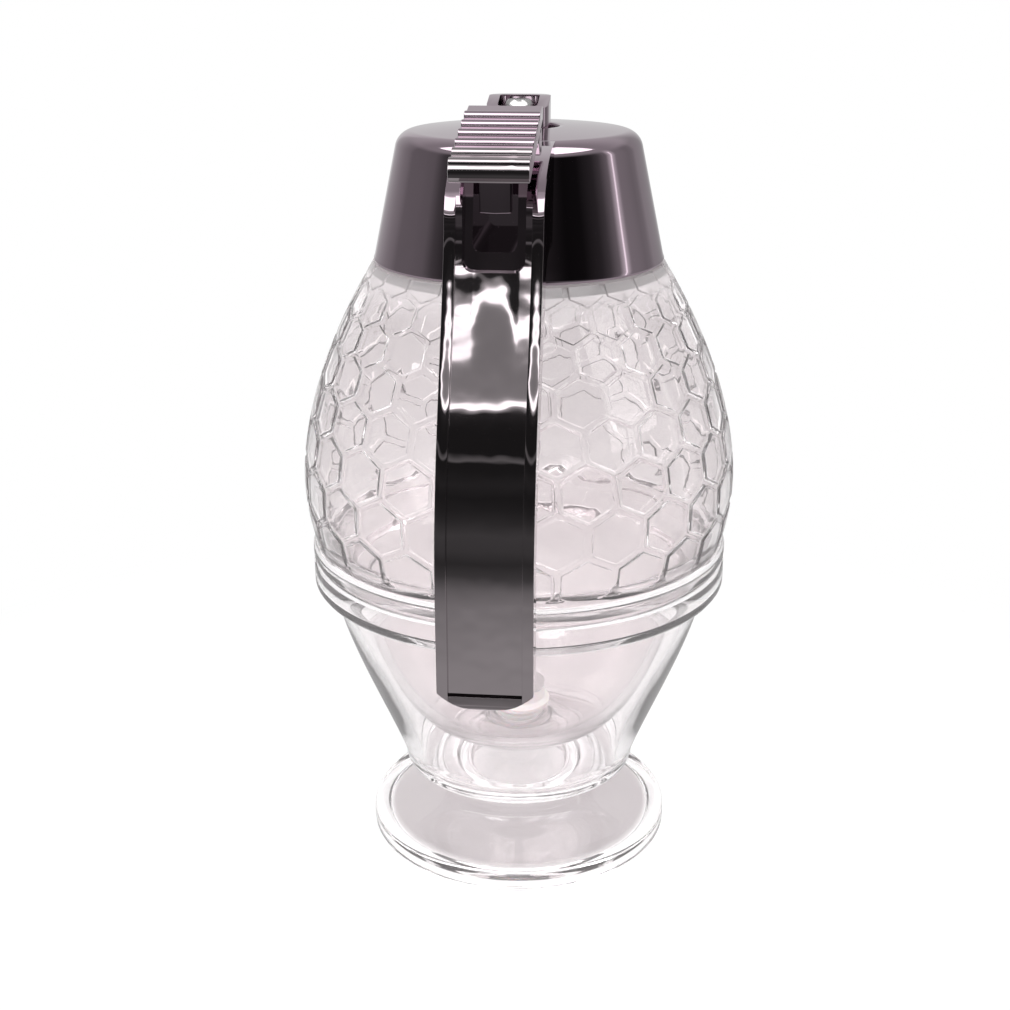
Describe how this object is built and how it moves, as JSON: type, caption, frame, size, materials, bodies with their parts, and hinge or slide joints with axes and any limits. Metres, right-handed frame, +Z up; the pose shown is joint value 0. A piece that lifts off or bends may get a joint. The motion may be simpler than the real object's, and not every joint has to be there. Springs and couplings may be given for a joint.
{
  "type": "honey dispenser",
  "caption": "Clear egg-shaped jar with a honeycomb pattern in a footed cup; a thumb lever on the plated cap lifts a rod and stopper to let honey out of the bottom.",
  "frame": {"origin": "centre of the foot, level with the ring that it stands on", "axes": "+Z up along the jar's axis, -Y towards the handle and the user's hand, +X to the right seen from the handle"},
  "size_m": [0.08, 0.1005, 0.1423],
  "materials": {
    "clear_plastic": "clear moulded acrylic",
    "plated_plastic": "dark bright plating on moulded plastic",
    "white_plastic": "natural moulded plastic",
    "silicone": "soft translucent silicone",
    "seal_rubber": "matt",
    "steel": "bright drawn stainless steel"
  },
  "bodies": {
    "stand": {"stand": "clear_plastic"},
    "jar": {"jar": "clear_plastic"},
    "gasket": {"neck_gasket": "silicone"},
    "cap": {"cap_shell": "plated_plastic", "cap_liner": "white_plastic", "rod_guide_bush": "white_plastic", "rod_seal": "seal_rubber", "spring_cover": "white_plastic", "lever_pivot_pin": "steel"},
    "lever": {"thumb_lever": "plated_plastic"},
    "rod": {"pull_rod": "steel", "rod_head": "steel", "rod_clips": "steel", "spring_washer": "steel", "return_spring": "steel", "stopper_plate": "steel", "stopper": "silicone", "stopper_nut": "steel"}
  },
  "joints": [
    {"name": "container_lift", "type": "slide", "parent": "stand", "child": "jar", "axis": [0, 0, 1], "range_m": [0, 0.06]},
    {"name": "cap_lift", "type": "slide", "parent": "jar", "child": "gasket", "axis": [0, 0, 1], "range_m": [0, 0.115]},
    {"name": "cap_turn", "type": "hinge", "parent": "gasket", "child": "cap", "pos_m": [0, 0, 0.12], "axis": [0, 0, 1], "range_deg": [0, 540]},
    {"name": "lever_press", "type": "hinge", "parent": "cap", "child": "lever", "pos_m": [0, -0.018, 0.1384], "axis": [1, 0, 0], "range_deg": [0, 8]},
    {"name": "rod_slide", "type": "slide", "parent": "cap", "child": "rod", "axis": [0, 0, 1], "range_m": [0, 0.0025], "stiffness_N_per_m": 20, "springref_m": -0.005, "deforming": ["return_spring"]}
  ],
  "couplings": [
    {"joint": "lever_press", "follows": "rod_slide", "rad_per_m": 55.556}
  ]
}
